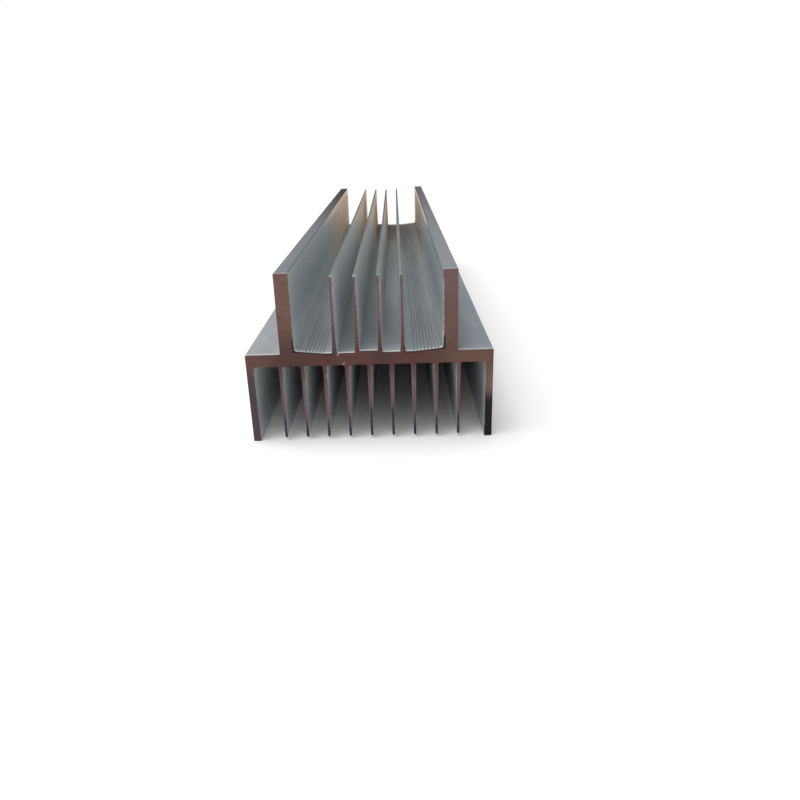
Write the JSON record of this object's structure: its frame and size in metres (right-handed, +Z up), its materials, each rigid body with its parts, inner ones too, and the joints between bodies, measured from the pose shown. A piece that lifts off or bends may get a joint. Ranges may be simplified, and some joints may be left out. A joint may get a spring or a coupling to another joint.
{
  "type": "extruded heat sink",
  "caption": "Straight length of aluminium heat sink extrusion: a deck on two legs with two thick posts, and grooved tapered fins under and on the deck.",
  "frame": {"origin": "midway along the piece and midway between the legs, at the level of the leg ends", "axes": "+X across the section, +Y along the extrusion, +Z up from the leg ends to the post tops"},
  "size_m": [0.122, 0.45, 0.0864],
  "materials": {
    "heat_sink": "mill finish with faint extrusion lines; sawn ends"
  },
  "bodies": {
    "root": {"heat_sink": "heat_sink"}
  },
  "joints": []
}
